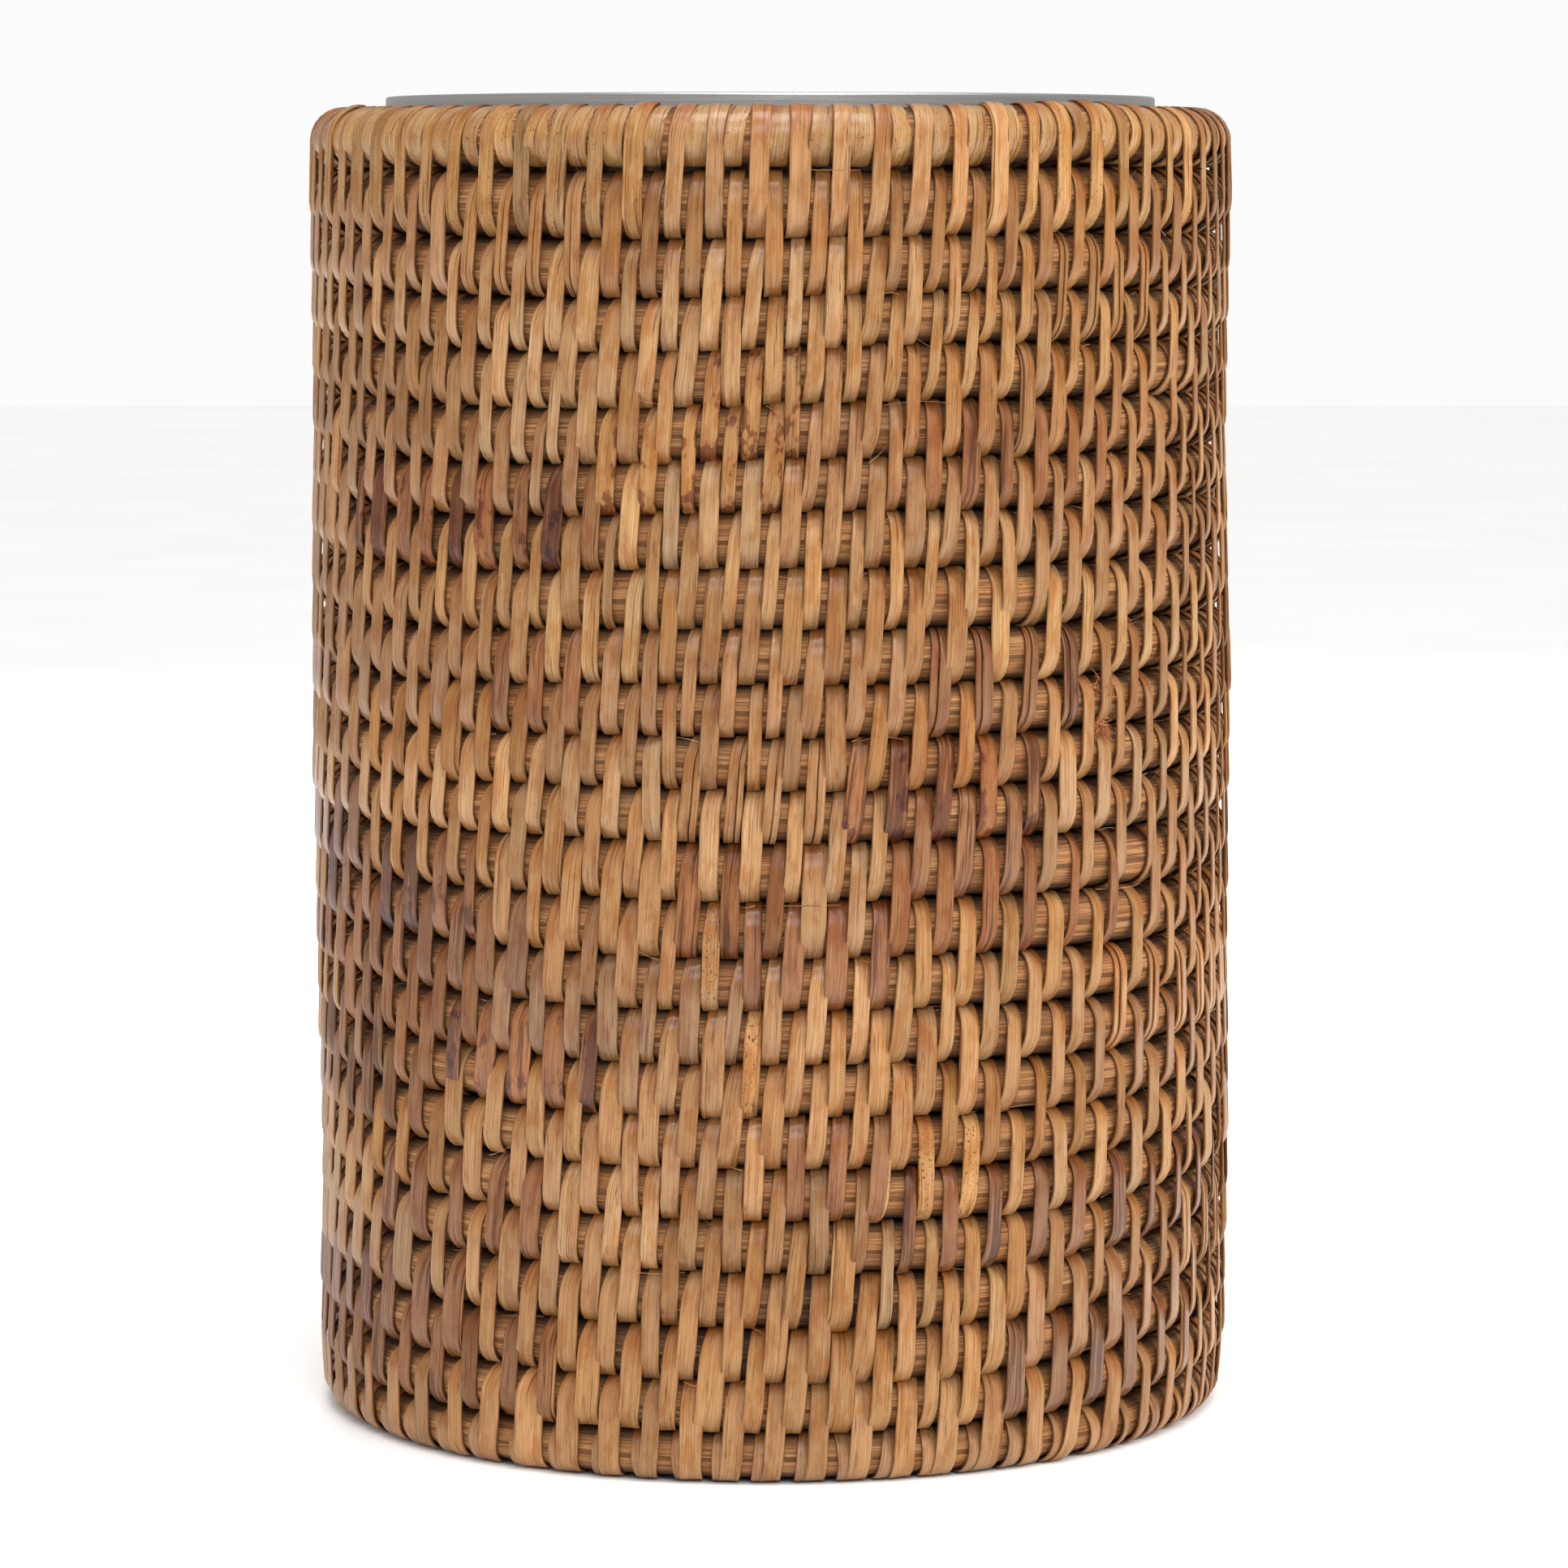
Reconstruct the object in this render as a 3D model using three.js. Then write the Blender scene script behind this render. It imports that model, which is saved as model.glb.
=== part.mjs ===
// Round rattan wastebasket with a lift-out stainless steel liner.
// Millimetres, +Z up. The origin is the centre of the foot, on the surface that the basket stands on.
// The wall is a stack of separate cane hoops. Each hoop is drawn at its lashed size: the cane with the
// peeled strips that bind it to its neighbours.
import * as THREE from 'three';

// Basket
const WALL_RADIUS = 107.5; // outside of the lashed wall
// Height that each hoop takes in the stack, from the rim down to the foot. Canes vary in thickness.
const HOOP_PITCHES = [
  14.5, 14.5, 12.5, 11.5, 12.5, 12.5, 11.5, 12.5, 13.5, 12.0, 11.5, 11.5, 11.5,
  13.0, 12.5, 11.5, 12.0, 11.5, 11.5, 11.5, 11.5, 12.5, 12.0, 11.5, 12.0,
];
const FOOT_INSET = 1.0; // the foot hoop is a little smaller than the wall
const GAP = 0.3; // between neighbouring pieces
const HOOP_STEPS = 32;
// Where each hoop's two ends meet, in steps round the hoop from +X. -Y is the front.
const FRONT_STEP = 24;
const HOOP_JOINTS = [
  6, 10, 3, 14, 8, 2, 12, 5, 15, 9, 4, 13, 7, 11, 2, 14, 6, 10, 5, 12, 3, 9, 14, FRONT_STEP + 1, 8.5,
];
const JOINT_GAP = 0.9; // along the hoop, between its two slanted ends
const SCARF_SHARE = 0.75; // how far a slanted end reaches, as a share of one step

// Base: flat cane hoops inside each other round a solid eye
const BASE_CANE = 11.1;
const BASE_HOOPS = 7;
const BASE_STEPS = [32, 28, 24, 20, 16, 16, 12];

// Liner
const LINER_STEPS = 48;
const BAND_RADIUS = 90;
const BAND_THICKNESS = 1.2;
const BAND_HEIGHT = 10;
const BAND_EDGE = 0.4; // chamfer round the band's outer edges
const SHEET = 0.8;
const LINER_RISE = 2.4; // how far the liner stands above the rim
const FLOOR_RECESS = 5; // the liner's floor lies this far above its bottom edge

const HEIGHT = HOOP_PITCHES.reduce((sum, pitch) => sum + pitch, 0);
const HOOP_COUNT = HOOP_PITCHES.length;
const FOOT_PITCH = HOOP_PITCHES[HOOP_COUNT - 1];
const BASE_PITCH = HOOP_PITCHES[HOOP_COUNT - 2]; // the base lies level with the lowest wall hoop
const BASE_CENTRE_Z = FOOT_PITCH + BASE_PITCH / 2;
const BASE_TOP_Z = BASE_CENTRE_Z + BASE_CANE / 2;

const CANE = { color: 0xb5824e, roughness: 0.6, metalness: 0 };
const STEEL = { color: 0xc9c9c7, roughness: 0.3, metalness: 1 };

const basket = new THREE.Group();
const liner = new THREE.Group();

function addMesh(group, name, geometry, finish) {
  const mesh = new THREE.Mesh(geometry, new THREE.MeshStandardMaterial(finish));
  mesh.name = name;
  group.add(mesh);
  return mesh;
}

// The circle that a hoop's cane follows, open at +X where its ends meet.
class HoopLine extends THREE.Curve {
  constructor(radius) {
    super();
    this.radius = radius;
  }
  getPoint(t) {
    const open = JOINT_GAP / this.radius;
    const angle = open / 2 + t * (2 * Math.PI - open);
    return new THREE.Vector3(Math.cos(angle), Math.sin(angle), 0).multiplyScalar(this.radius);
  }
}

// An octagon with flats above, below, inside and outside.
function caneSection(thickness) {
  const flat = thickness / 2;
  const corner = flat * Math.tan(Math.PI / 8);
  const section = new THREE.Shape();
  section.moveTo(flat, -corner);
  section.lineTo(flat, corner);
  section.lineTo(corner, flat);
  section.lineTo(-corner, flat);
  section.lineTo(-flat, corner);
  section.lineTo(-flat, -corner);
  section.lineTo(-corner, -flat);
  section.lineTo(corner, -flat);
  section.closePath();
  return section;
}

// Slides the end faces' corners along the hoop, so that the two ends meet on a slant.
function scarfEnds(geometry, thickness, steps) {
  const position = geometry.getAttribute('position');
  const reach = (SCARF_SHARE * 2 * Math.PI) / steps;
  const corner = new THREE.Vector3();
  const up = new THREE.Vector3(0, 0, 1);
  for (let i = 0; i < position.count; i += 1) {
    corner.fromBufferAttribute(position, i);
    const angle = Math.atan2(corner.y, corner.x);
    if (Math.abs(angle) < Math.PI / steps) {
      corner.applyAxisAngle(up, (reach * corner.z) / (thickness / 2));
      position.setXYZ(i, corner.x, corner.y, corner.z);
    }
  }
}

function caneHoop(outerRadius, thickness, steps) {
  const geometry = new THREE.ExtrudeGeometry(caneSection(thickness), {
    steps,
    bevelEnabled: false,
    extrudePath: new HoopLine(outerRadius - thickness / 2),
  });
  scarfEnds(geometry, thickness, steps);
  return geometry;
}

// A solid turned round Z from a profile of [radius, z] corners, listed from the bottom outwards and up.
function turned(corners, steps) {
  const profile = corners.map(([radius, z]) => new THREE.Vector2(radius, z));
  return new THREE.LatheGeometry(profile, steps).rotateX(Math.PI / 2);
}

function ring(corners, steps) {
  return turned([...corners, corners[0]], steps);
}

function hoopName(index) {
  if (index === 0) return 'rim_hoop';
  if (index === HOOP_COUNT - 1) return 'foot_hoop';
  return `wall_hoop_${String(index).padStart(2, '0')}`;
}

function addWall() {
  let top = HEIGHT;
  HOOP_PITCHES.forEach((pitch, index) => {
    const isFoot = index === HOOP_COUNT - 1;
    const thickness = pitch - GAP;
    const radius = isFoot ? WALL_RADIUS - FOOT_INSET : WALL_RADIUS;
    const mesh = addMesh(basket, hoopName(index), caneHoop(radius, thickness, HOOP_STEPS), CANE);
    mesh.position.z = isFoot ? thickness / 2 : top - pitch / 2;
    mesh.rotation.z = (HOOP_JOINTS[index] * 2 * Math.PI) / HOOP_STEPS;
    top -= pitch;
  });
}

// The radius that fits inside a hoop whose inner side is made of straight steps.
function radiusInside(outerRadius, thickness, steps) {
  return (outerRadius - thickness) * Math.cos(Math.PI / steps) - GAP;
}

function addBase() {
  let radius = radiusInside(WALL_RADIUS, BASE_PITCH - GAP, HOOP_STEPS);
  for (let index = 0; index < BASE_HOOPS; index += 1) {
    const steps = BASE_STEPS[index];
    const mesh = addMesh(basket, `base_hoop_${index + 1}`, caneHoop(radius, BASE_CANE, steps), CANE);
    mesh.position.z = BASE_CENTRE_Z;
    mesh.rotation.z = (index * Math.PI) / 2;
    radius = radiusInside(radius, BASE_CANE, steps);
  }
  const edge = BASE_CANE / 4;
  const eye = [[0, -BASE_CANE / 2], [radius - edge, -BASE_CANE / 2], [radius, -edge],
    [radius, edge], [radius - edge, BASE_CANE / 2], [0, BASE_CANE / 2]];
  const mesh = addMesh(basket, 'base_eye', turned(eye, BASE_STEPS[BASE_HOOPS - 1]), CANE);
  mesh.position.z = BASE_CENTRE_Z;
}

function addLiner() {
  const bottom = BASE_TOP_Z + GAP;
  const top = HEIGHT + LINER_RISE;
  const wallOuter = BAND_RADIUS - BAND_THICKNESS - GAP;
  const wallInner = wallOuter - SHEET;
  const bandInner = BAND_RADIUS - BAND_THICKNESS;
  const bandBottom = top - BAND_HEIGHT;
  const bevelled = BAND_RADIUS - BAND_EDGE;

  const wall = [[wallInner, bottom], [wallOuter, bottom], [wallOuter, top], [wallInner, top]];
  addMesh(liner, 'liner_wall', ring(wall, LINER_STEPS), STEEL);

  const band = [[bandInner, bandBottom], [bevelled, bandBottom], [BAND_RADIUS, bandBottom + BAND_EDGE],
    [BAND_RADIUS, top - BAND_EDGE], [bevelled, top], [bandInner, top]];
  addMesh(liner, 'liner_rim_band', ring(band, LINER_STEPS), STEEL);

  // A shallow pan, upside down, with its skirt inside the bottom of the wall.
  const skirt = wallInner - GAP;
  const floorTop = bottom + FLOOR_RECESS;
  const floor = [[0, floorTop - SHEET], [skirt - SHEET, floorTop - SHEET], [skirt - SHEET, bottom],
    [skirt, bottom], [skirt, floorTop], [0, floorTop]];
  addMesh(liner, 'liner_floor', turned(floor, LINER_STEPS), STEEL);
}

addWall();
addBase();
addLiner();

const wastebasket = new THREE.Group();
wastebasket.add(basket, liner);

export default wastebasket;
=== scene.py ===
import math

import bpy
import numpy as np
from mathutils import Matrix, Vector


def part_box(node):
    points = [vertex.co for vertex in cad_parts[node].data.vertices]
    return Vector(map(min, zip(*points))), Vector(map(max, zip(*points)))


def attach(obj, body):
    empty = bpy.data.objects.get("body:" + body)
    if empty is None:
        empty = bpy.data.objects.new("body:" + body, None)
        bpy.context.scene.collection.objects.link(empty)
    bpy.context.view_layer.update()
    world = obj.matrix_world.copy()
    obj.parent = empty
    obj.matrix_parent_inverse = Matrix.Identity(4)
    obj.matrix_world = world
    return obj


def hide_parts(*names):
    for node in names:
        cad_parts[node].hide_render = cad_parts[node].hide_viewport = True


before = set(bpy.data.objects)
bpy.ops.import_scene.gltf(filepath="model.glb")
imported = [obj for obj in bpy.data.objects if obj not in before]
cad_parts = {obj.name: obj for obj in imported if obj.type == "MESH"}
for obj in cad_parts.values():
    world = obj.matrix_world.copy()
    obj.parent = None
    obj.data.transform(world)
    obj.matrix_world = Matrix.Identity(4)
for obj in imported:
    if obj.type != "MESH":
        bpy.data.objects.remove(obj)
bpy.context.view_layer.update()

MM = 0.001
TURN = 2 * math.pi
FRONT = -TURN / 4
rng = np.random.default_rng(12)

STRIP_THICKNESS = 0.65
GROOVE = 0.35  # between one cane and the next, where the strips pass through
FOOT_RISE = 0.35  # keeps the uneven strips under the foot off the floor
HOOP_GAP = 0.3  # between the lashed hoops of the CAD model
SHEET = 0.8  # the liner's steel
TOP_ROW_STITCHES = 74
BASE_STITCH_SPACE = 10.5

WALL_HOOPS = ["rim_hoop"] + [f"wall_hoop_{i:02d}" for i in range(1, 24)] + ["foot_hoop"]
BASE_HOOPS = [f"base_hoop_{i}" for i in range(1, 8)]
FOOT_LEVEL = len(WALL_HOOPS) - 1  # levels count the wall's hoops from the rim down

# Where each wall hoop's ends meet, in 32nds of a turn from +X, as in the CAD model.
HOOP_JOINTS = [6, 10, 3, 14, 8, 2, 12, 5, 15, 9, 4, 13, 7, 11, 2, 14, 6, 10, 5, 12, 3, 9, 14, 25, 8.5]


def linear(red, green, blue):
    """An sRGB colour from 0 to 255 as linear values."""
    value = np.array([red, green, blue]) / 255
    return np.where(value <= 0.04045, value / 12.92, ((value + 0.055) / 1.055) ** 2.4)


# ---------------------------------------------------------------- meshes

class Parts:
    """Collects pieces of mesh with values at their points, and makes one object of them."""

    def __init__(self):
        self.points = []
        self.faces = []
        self.fields = {}
        self.count = 0

    def add(self, points, faces, **fields):
        self.points.append(points)
        self.faces.append(faces + self.count)
        for name, values in fields.items():
            self.fields.setdefault(name, []).append(values)
        self.count += len(points)

    def build(self, name, material, body, replaces=()):
        points = np.concatenate(self.points) * MM
        faces = np.concatenate(self.faces)
        mesh = bpy.data.meshes.new(name)
        mesh.vertices.add(len(points))
        mesh.vertices.foreach_set("co", points.astype(np.float32).ravel())
        mesh.loops.add(faces.size)
        mesh.loops.foreach_set("vertex_index", faces.astype(np.int32).ravel())
        mesh.polygons.add(len(faces))
        mesh.polygons.foreach_set("loop_start", np.arange(0, faces.size, 4, dtype=np.int32))
        mesh.update(calc_edges=True)
        mesh.polygons.foreach_set("use_smooth", np.ones(len(faces), dtype=bool))
        for field, values in self.fields.items():
            values = np.concatenate(values).astype(np.float32)
            kind = "FLOAT_VECTOR" if values.ndim == 2 else "FLOAT"
            attribute = mesh.attributes.new(field, kind, "POINT")
            attribute.data.foreach_set("vector" if values.ndim == 2 else "value", values.ravel())
        mesh.materials.append(material)
        piece = bpy.data.objects.new(name, mesh)
        bpy.context.scene.collection.objects.link(piece)
        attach(piece, body)
        if replaces:
            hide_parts(*replaces)


def tube_faces(rings, sides, closed):
    """Quads between successive rings of points, facing out when the rings run anticlockwise."""
    ring = np.arange(rings if closed else rings - 1)[:, None]
    side = np.arange(sides)[None, :]
    after = (ring + 1) % rings
    beside = (side + 1) % sides
    corners = [ring * sides + side, ring * sides + beside, after * sides + beside, after * sides + side]
    return np.stack(corners, -1).reshape(-1, 4)


def cap_faces(sides, first):
    """Quads that close a ring with an even number of sides."""
    quads = [[i, i + 1, sides - 2 - i, sides - 1 - i] for i in range(sides // 2 - 1)]
    return np.array(quads)[:, ::-1 if first else 1]


def facing_out(points, faces):
    """The faces, turned over if they enclose a negative volume."""
    a, b, c, d = (points[faces[:, i]] for i in range(4))
    volume = np.einsum("ij,ij->i", a, np.cross(b, c)) + np.einsum("ij,ij->i", a, np.cross(c, d))
    return faces if volume.sum() > 0 else faces[:, ::-1]


def unit(vectors):
    return vectors / np.linalg.norm(vectors, axis=-1, keepdims=True)


def step(low, high, value):
    """A smooth step from 0 at low to 1 at high."""
    share = np.clip((value - low) / (high - low), 0, 1)
    return share * share * (3 - 2 * share)


# ---------------------------------------------------------------- hoops

def angle_from_front(angle):
    """Degrees to the right of the front, from -180 to 180."""
    return (np.degrees(angle - FRONT) + 180) % 360 - 180


def sway(level, angle):
    """How far the canes wander out and up from true rings, at a level that may lie between two hoops.
    Most of it fades out at the rim and the foot. The wall also has a slight waist near the top, leans to
    the right low down, and its rim peaks right of the front."""
    fade = step(0, 3, level) * step(FOOT_LEVEL, FOOT_LEVEL - 3, level)
    out = 0.30 * np.sin(2 * angle + 0.21 * level) + 0.22 * np.sin(5 * angle - 0.55 * level + 1)
    up = 0.80 * np.sin(2 * angle + 0.24 * level + 2.2) + 0.38 * np.sin(5 * angle + 0.5 * level)
    waist = -1.0 * np.exp(-(((level - 5) / 3.2) ** 2))
    to_the_right = 1.1 * np.cos(angle) * np.exp(-(((level - 18.5) / 4) ** 2))
    peak = 1.1 * np.exp(-((angle_from_front(angle) - 42) / 9) ** 2) * step(2.5, 0, level)
    return out * (0.25 + 0.75 * fade) + (waist + to_the_right), up * fade + peak


def box_of(node):
    """The CAD node's lowest and highest corners."""
    return [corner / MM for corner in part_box(node)]


class Hoop:
    """A round cane bent into a ring: the radius and height of the ring, and the cane's own radius.
    flat is for the base's hoops, which lie side by side inside each other."""

    def __init__(self, name, level, flat=False):
        low, high = box_of(name)
        lashed = (high.z - low.z) / 2
        outside = max(high.x, high.y, -low.x, -low.y)
        self.name = name
        self.level = level
        self.height = (high.z + low.z) / 2
        if flat:
            self.cane = lashed - 0.7 * STRIP_THICKNESS
            self.ring = outside - lashed
        else:
            at_end = level in (0, FOOT_LEVEL)
            self.cane = lashed - STRIP_THICKNESS if at_end else lashed + (HOOP_GAP - GROOVE) / 2
            self.ring = outside - STRIP_THICKNESS - self.cane
            self.height += FOOT_RISE if level == FOOT_LEVEL else 0

    def place(self, ring, height, angle):
        """Points at these distances from the axis and heights, moved by the hoop's sway."""
        out, up = sway(self.level, angle)
        return np.stack([(ring + out) * np.cos(angle), (ring + out) * np.sin(angle), height + up], -1)


HOOP_SIDES = 36
HOOP_STEPS = 200
SCARF = 7.0  # how far the slanted ends reach along the hoop
JOINT_GAP = 1.1  # along the hoop, between its two ends

# Dark stretches of bare cane: hoop, degrees right of the front, half width in degrees, how dark.
DARK_CANES = [
    (5, 18, 10, 0.3), (7, 32, 9, 0.35), (7, -42, 15, 0.7), (13, -52, 12, 0.5), (15, -60, 14, 0.45),
    (16, 30, 12, 0.3), (21, 8, 9, 1.0), (21, -28, 18, 0.55), (22, -2, 17, 0.95), (22, -24, 7, 0.5),
]


def add_cane(hoop, joint, seed, material):
    """The hoop's cane, open where its two slanted ends meet."""
    gap = JOINT_GAP / hoop.ring
    along = np.linspace(0, 1, HOOP_STEPS)
    around = np.arange(HOOP_SIDES) * TURN / HOOP_SIDES
    t, a = np.meshgrid(along, around, indexing="ij")
    angle = joint + gap / 2 + SCARF / hoop.ring * np.sin(a) + t * (TURN - gap)
    knots = 0.06 * np.sin(angle * 9 + seed) + 0.04 * np.sin(angle * 23 + 2 * seed)
    ridges = sum(0.03 * np.sin(a * count + 2 * np.sin(angle * 2 + seed + count)) for count in (7, 11, 16))
    radius = hoop.cane + knots + ridges
    points = hoop.place(hoop.ring + radius * np.cos(a), hoop.height + radius * np.sin(a), angle)
    points = points.reshape(-1, 3)
    last = (HOOP_STEPS - 1) * HOOP_SIDES
    faces = np.concatenate([tube_faces(HOOP_STEPS, HOOP_SIDES, False), cap_faces(HOOP_SIDES, True),
                            cap_faces(HOOP_SIDES, False) + last])
    place = np.stack([a * hoop.cane, angle * hoop.ring, np.full_like(a, seed)], -1).reshape(-1, 3)
    dark = sum((depth * np.exp(-((angle_from_front(angle) - middle) / width) ** 2)
                for level, middle, width, depth in DARK_CANES if level == hoop.level), np.zeros_like(a))
    # trait holds how near each point is to the cane's top or bottom, where the material paints the grooves'
    # shade, and how dark its stretch is.
    trait = np.stack([np.abs(np.sin(a)), np.clip(dark, 0, 1), np.zeros_like(a)], -1).reshape(-1, 3)
    parts = Parts()
    parts.add(points, facing_out(points, faces), place=place, trait=trait)
    parts.build(hoop.name.replace("hoop", "cane"), material, "basket", [hoop.name])


# ---------------------------------------------------------------- strips

STRIP_STITCHES = 7, 20  # a strip is used up after at least the first and fewer than the second
QUARTER_STEPS = 7  # over one cane on the seen side, from its top to its outermost line
BRIDGE_STEPS = 3  # straight across the groove between the two canes
SEEN_STEPS = 2 * QUARTER_STEPS + BRIDGE_STEPS
HIDDEN_STEPS = 7
TURN_STEPS = SEEN_STEPS + HIDDEN_STEPS
END_STEPS = 3  # how much of the hidden side a strip's first and last stitch leave out
# How far each step has come: 0 to 1 on the seen side, from there towards 2 on the hidden side.
PROGRESS = np.concatenate([np.linspace(0, 1, SEEN_STEPS),
                           1 + np.arange(1, HIDDEN_STEPS + 1) / (HIDDEN_STEPS + 1)])
# A strip's section: places across as shares of the half width, and heights in thicknesses.
SECTION = np.array([(-1, -0.05), (-0.96, 0.30), (-0.83, 0.46), (-0.5, 0.5), (-0.17, 0.5), (0.17, 0.5),
                    (0.5, 0.5), (0.83, 0.46), (0.96, 0.30), (1, -0.05), (0.93, -0.48), (-0.93, -0.48)])
CREST = np.array([0, 0, 1, 1, 1, 1, 1, 1, 0, 0, 0, 0])  # the points whose height varies from place to place


def stops_round(hoop, degrees, flat=False):
    """Where a strip lies at these angles round a cane, from its top to its outside and on. Each row has the
    distance from the axis, the height, the outward direction's two parts and how deep in the groove it is.
    On a flat hoop the angles start at the outside and go down."""
    along, side = np.cos(np.radians(degrees)), np.sin(np.radians(degrees))
    out, up = (along, -side) if flat else (side, along)
    reach = hoop.cane + STRIP_THICKNESS / 2
    return np.stack([hoop.ring + reach * out, hoop.height + reach * up, out, up, 1 - np.abs(side)], -1)


def strip_turn(upper, lower, flat=False):
    """One turn of a strip round two hoops, or round one when both are the same, as rows of stops_round."""
    if upper is lower:
        degrees = np.append(np.linspace(0, 180, SEEN_STEPS), [205, 230, 255, 280, 305, 328, 346])
        return stops_round(upper, degrees)
    quarter = np.linspace(0, 90, QUARTER_STEPS)
    over_upper, over_lower = stops_round(upper, quarter, flat), stops_round(lower, quarter + 90, flat)
    share = (np.arange(BRIDGE_STEPS) + 1)[:, None] / (BRIDGE_STEPS + 1)
    bridge = (1 - share) * over_upper[-1] + share * over_lower[0]
    behind_lower = stops_round(lower, [210, 240, 268], flat)
    behind_upper = stops_round(upper, [278, 305, 330, 348], flat)
    return np.concatenate([over_upper, bridge, over_lower, behind_lower, behind_upper])


def half_way(angles):
    """Angles between successive ones round a ring, in descending order."""
    after = np.append(angles[1:], angles[0] - TURN)
    return (angles + after) / 2


def drop_one(angles, degrees):
    """Leaves out the stitch nearest to a place, and lets its neighbours close up a little."""
    passes, ease = 4, 0.3
    target = FRONT + math.radians(degrees)
    away = np.abs((angles - target + math.pi) % TURN - math.pi)
    angles = np.delete(angles, away.argmin())
    for _ in range(passes):
        before = np.append(angles[-1] + TURN, angles[:-1])
        after = np.append(angles[1:], angles[0] - TURN)
        angles = angles + ease * ((before + after) / 2 - angles)
    return angles


def strip_runs(row, angles):
    """Splits a row of stitches into the strips that it was worked with: first stitch, end and kind."""
    degrees = angle_from_front(angles)
    kinds = [None] * len(angles)
    for low, high, kind in FEATURES.get(row, ()):
        for i in np.flatnonzero((degrees >= low) & (degrees <= high)):
            kinds[i] = kind
    runs = []
    i = 0
    while i < len(angles):
        if kinds[i]:
            end = i
            while end < len(angles) and kinds[end] == kinds[i]:
                end += 1
            kind = kinds[i]
        else:
            end = min(i + int(rng.integers(*STRIP_STITCHES)), len(angles))
            named = [j for j in range(i, end) if kinds[j]]
            end = named[0] if named else end
            kind = KIND_NAMES[rng.choice(len(KIND_NAMES), p=KIND_ODDS)]
        runs.append((i, end, kind))
        i = end
    return runs


# Kinds of strip: colour, how much of it is streaked, speckled and blotched, and how often it turns up.
KINDS = {
    "straw": (linear(172, 133, 90), 0.25, 0.20, 0.10, 0.24),
    "honey": (linear(165, 123, 79), 0.35, 0.25, 0.20, 0.32),
    "tan": (linear(155, 114, 74), 0.45, 0.30, 0.20, 0.24),
    "orange": (linear(157, 111, 63), 0.40, 0.15, 0.20, 0.09),
    "russet": (linear(140, 93, 56), 0.70, 0.20, 0.30, 0.05),
    "brown": (linear(134, 92, 57), 0.85, 0.30, 0.35, 0.04),
    "grey": (linear(150, 112, 74), 0.55, 0.25, 0.20, 0.02),
    "dark": (linear(144, 96, 56), 1.15, 0.30, 0.80, 0.0),
    "mottled": (linear(170, 126, 78), 0.30, 0.40, 0.88, 0.0),
    "spotted": (linear(173, 130, 82), 0.20, 1.0, 0.1, 0.0),
    "marked": (linear(168, 128, 80), 0.60, 0.70, 0.30, 0.0),
}
KIND_NAMES = list(KINDS)
KIND_ODDS = [KINDS[name][4] for name in KIND_NAMES]

# Rows of binding that don't lie between two hoops of the wall. The wall's rows are numbered from 0.
RIM_WRAP_ROW, FOOT_WRAP_ROW, FIRST_BASE_ROW = 30, 31, 40

# Strips that stand out: for each row, from and to in degrees right of the front, and kind.
FEATURES = {
    0: [(-70, -20, "marked"), (-20, 25, "honey"), (25, 70, "marked")],
    1: [(-45, -20, "honey"), (-20, 62, "orange")],
    2: [(-30, 5, "straw"), (5, 30, "honey")],
    3: [(-36, -4, "straw")],
    4: [(-40, -20, "straw"), (-16, 8, "mottled"), (18, 30, "orange")],
    5: [(-28, -2, "mottled"), (-2, 20, "tan"), (20, 45, "russet")],
    6: [(-62, -24, "dark"), (-24, -18, "brown"), (-18, 0, "straw"), (0, 3, "russet")],
    7: [(-60, -18, "honey")],
    8: [(-34, -26, "orange"), (-12, 24, "orange")],
    9: [(-40, -25, "russet"), (20, 44, "brown")],
    10: [(-60, -45, "orange"), (10, 28, "orange")],
    11: [(-10, 8, "tan"), (11, 33, "dark")],
    12: [(-85, -60, "brown"), (-26, -12, "orange"), (18, 34, "brown")],
    13: [(-72, -38, "dark"), (-12, 2, "russet"), (16, 40, "russet")],
    14: [(-80, -50, "russet"), (-50, -30, "brown"), (-10, -6, "spotted")],
    15: [(-70, -38, "russet"), (4, 16, "straw")],
    16: [(-80, -42, "brown"), (-42, -22, "dark"), (-10, -5, "spotted"), (-5, 20, "honey")],
    17: [(-75, -46, "brown"), (14, 50, "orange")],
    18: [(-60, -40, "orange"), (0, 11, "russet"), (11, 30, "spotted")],
    19: [(-58, -26, "brown"), (-12, 14, "tan")],
    20: [(-14, 4, "orange"), (20, 34, "orange")],
    21: [(-46, 20, "honey")],
    22: [(-30, 30, "honey")],
    23: [(-40, 40, "honey")],
    RIM_WRAP_ROW: [(-90, 90, "marked")],
    FOOT_WRAP_ROW: [(-90, 90, "tan")],
}


class Binding:
    """How a row of strips is worked: half their width at the top and at the foot as shares of half the space
    that a stitch takes, how far the top lies to the right of the foot, how far the strips stand off the canes
    and how much the lean varies."""

    def __init__(self, top_share, foot_share, lean, lift=0.0, spread=0.8):
        self.top_share = top_share
        self.foot_share = foot_share
        self.lean = lean
        self.lift = lift
        self.spread = spread


WALL_BINDING = Binding(0.385, 0.415, 2.8, spread=0.9)
RIM_BINDING = Binding(0.46, 0.43, 2.2, spread=0.7)
RIM_WRAPS = Binding(0.64, 0.54, 2.4, lift=-0.45, spread=0.7)
FOOT_WRAPS = Binding(0.36, 0.42, 0.8, lift=-0.15, spread=1.2)
BASE_BINDING = Binding(0.40, 0.40, 1.0)

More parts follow.
